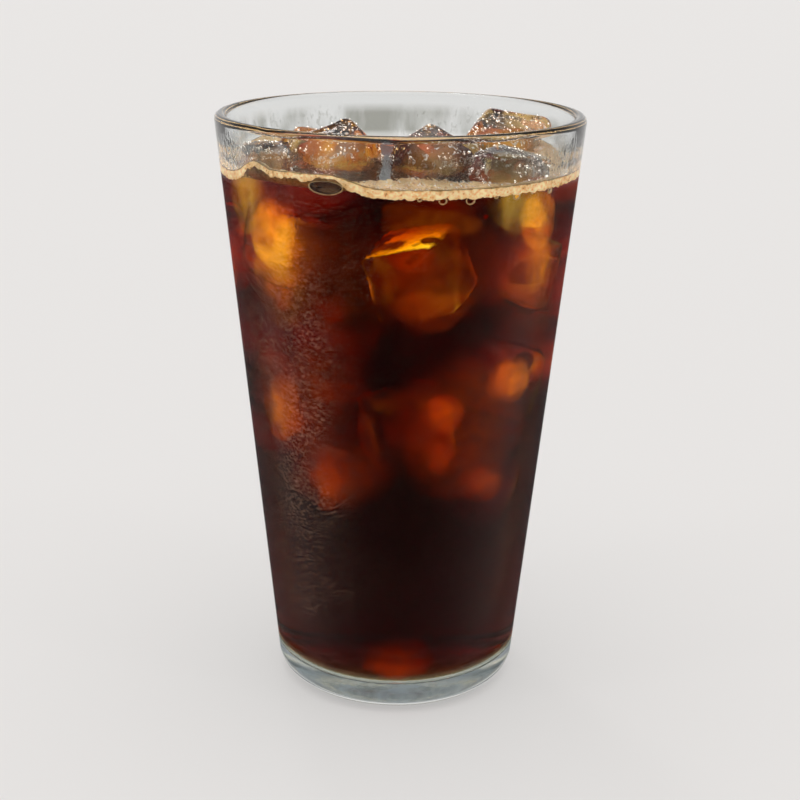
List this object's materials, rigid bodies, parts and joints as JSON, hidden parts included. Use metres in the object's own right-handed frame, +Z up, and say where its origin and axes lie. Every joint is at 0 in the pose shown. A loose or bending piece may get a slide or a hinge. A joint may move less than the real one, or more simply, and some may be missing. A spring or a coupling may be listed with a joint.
{
  "type": "iced black coffee in a tapered glass",
  "caption": "Tapered clear tumbler with a thick base, filled with black coffee that carries a ring of tan foam and ice cubes standing out of the surface.",
  "frame": {"origin": "middle of the foot, on the table", "axes": "+Z up through the middle of the rim; -Y is the side the picture shows"},
  "size_m": [0.0876, 0.0876, 0.1435],
  "materials": {
    "tumbler_glass": "clear pressed soda lime glass, polished, with a fine chill mist outside",
    "black_coffee": "clear dark brown liquid, amber where thin",
    "coffee_foam": "fine tan foam of coffee oils",
    "wet_ice": "melting ice, wet and partly cloudy"
  },
  "bodies": {
    "root": {"tumbler": "tumbler_glass", "coffee": "black_coffee", "foam_ring": "coffee_foam", "ice_1": "wet_ice", "ice_2": "wet_ice", "ice_3": "wet_ice", "ice_4": "wet_ice", "ice_5": "wet_ice", "ice_6": "wet_ice"}
  },
  "joints": []
}
